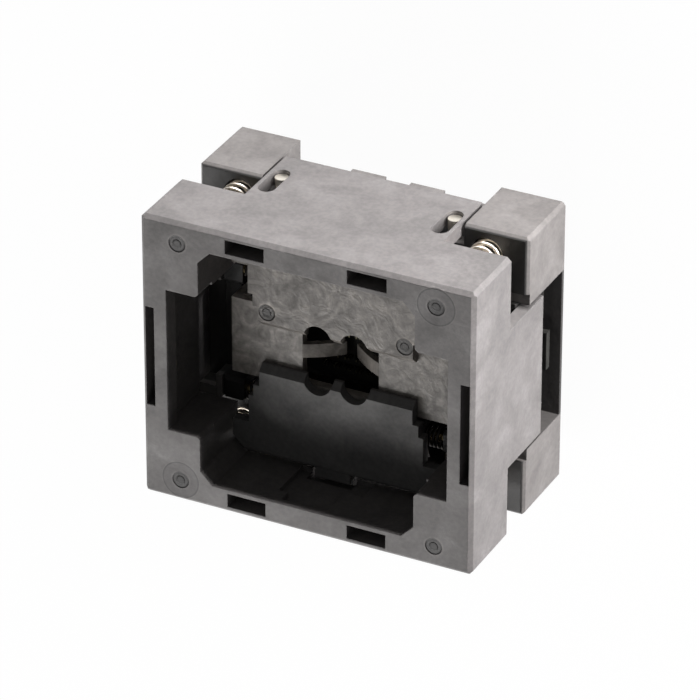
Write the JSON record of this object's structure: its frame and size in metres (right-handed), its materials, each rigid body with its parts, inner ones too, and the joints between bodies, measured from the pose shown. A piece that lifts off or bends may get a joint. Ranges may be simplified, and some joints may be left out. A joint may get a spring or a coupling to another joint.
{
  "type": "ic socket",
  "caption": "Open-top test socket for a chip package: pressing the sprung cover opens the hinged latches and the contact combs over the package pocket.",
  "frame": {"origin": "middle of the face that seats on the circuit board", "axes": "+Z out of the board towards the cover's front face, +X along the cover's longer side, +Y towards the upper latch"},
  "size_m": [0.038, 0.0332, 0.0254],
  "materials": {
    "moulded_plastic": "fine moulded grain, warm dark grey",
    "dark_plastic": "fine moulded grain, near black",
    "bright_steel": "plated, bright",
    "gilt_metal": "thin gold plating"
  },
  "bodies": {
    "frame": {"base": "moulded_plastic", "nest_plate": "dark_plastic", "contact_block": "dark_plastic", "contacts": "gilt_metal", "tail_plate": "moulded_plastic", "pivot_pin_upper": "gilt_metal", "pivot_pin_lower": "gilt_metal", "cross_pin_left": "bright_steel", "cross_pin_right": "bright_steel", "cover_spring_upper_left": "bright_steel", "cover_spring_upper_right": "bright_steel", "cover_spring_lower_left": "bright_steel", "cover_spring_lower_right": "bright_steel", "latch_spring_upper_left": "bright_steel", "latch_spring_upper_right": "bright_steel", "latch_spring_lower_left": "bright_steel", "latch_spring_lower_right": "bright_steel"},
    "cover": {"cover": "moulded_plastic"},
    "latch_upper": {"latch_upper": "moulded_plastic"},
    "latch_lower": {"latch_lower": "moulded_plastic"},
    "comb_front": {"comb_front": "dark_plastic"},
    "comb_rear": {"comb_rear": "dark_plastic"},
    "lever_left": {"lever_left": "dark_plastic"},
    "lever_right": {"lever_right": "dark_plastic"}
  },
  "joints": [
    {"name": "cover_slide", "type": "slide", "parent": "frame", "child": "cover", "axis": [0, 0, -1], "range_m": [0, 0.0036], "stiffness_N_per_m": 1200, "springref_m": -0.0015, "deforming": ["cover_spring_upper_left", "cover_spring_upper_right", "cover_spring_lower_left", "cover_spring_lower_right"]},
    {"name": "latch_upper_hinge", "type": "hinge", "parent": "frame", "child": "latch_upper", "pos_m": [0, 0.0072, 0.0126], "axis": [-1, 0, 0], "range_deg": [0, 28]},
    {"name": "latch_lower_hinge", "type": "hinge", "parent": "frame", "child": "latch_lower", "pos_m": [0, -0.0072, 0.0126], "axis": [1, 0, 0], "range_deg": [0, 28]},
    {"name": "lever_left_hinge", "type": "hinge", "parent": "frame", "child": "lever_left", "pos_m": [-0.00995, 0, 0.0081], "axis": [0, -1, 0], "range_deg": [0, 8]},
    {"name": "lever_right_hinge", "type": "hinge", "parent": "frame", "child": "lever_right", "pos_m": [0.00995, 0, 0.0081], "axis": [0, 1, 0], "range_deg": [0, 8]},
    {"name": "comb_front_slide", "type": "slide", "parent": "frame", "child": "comb_front", "axis": [1, 0, 0], "range_m": [0, 0.000334]},
    {"name": "comb_rear_slide", "type": "slide", "parent": "frame", "child": "comb_rear", "axis": [-1, 0, 0], "range_m": [0, 0.0002366]}
  ],
  "couplings": [
    {"joint": "latch_upper_hinge", "follows": "cover_slide", "rad_per_m": 135.7},
    {"joint": "latch_lower_hinge", "follows": "cover_slide", "rad_per_m": 135.7},
    {"joint": "lever_left_hinge", "follows": "cover_slide", "rad_per_m": 38.78},
    {"joint": "lever_right_hinge", "follows": "cover_slide", "rad_per_m": 38.78},
    {"joint": "comb_front_slide", "follows": "cover_slide", "ratio": 0.0927},
    {"joint": "comb_rear_slide", "follows": "cover_slide", "ratio": 0.0657}
  ]
}
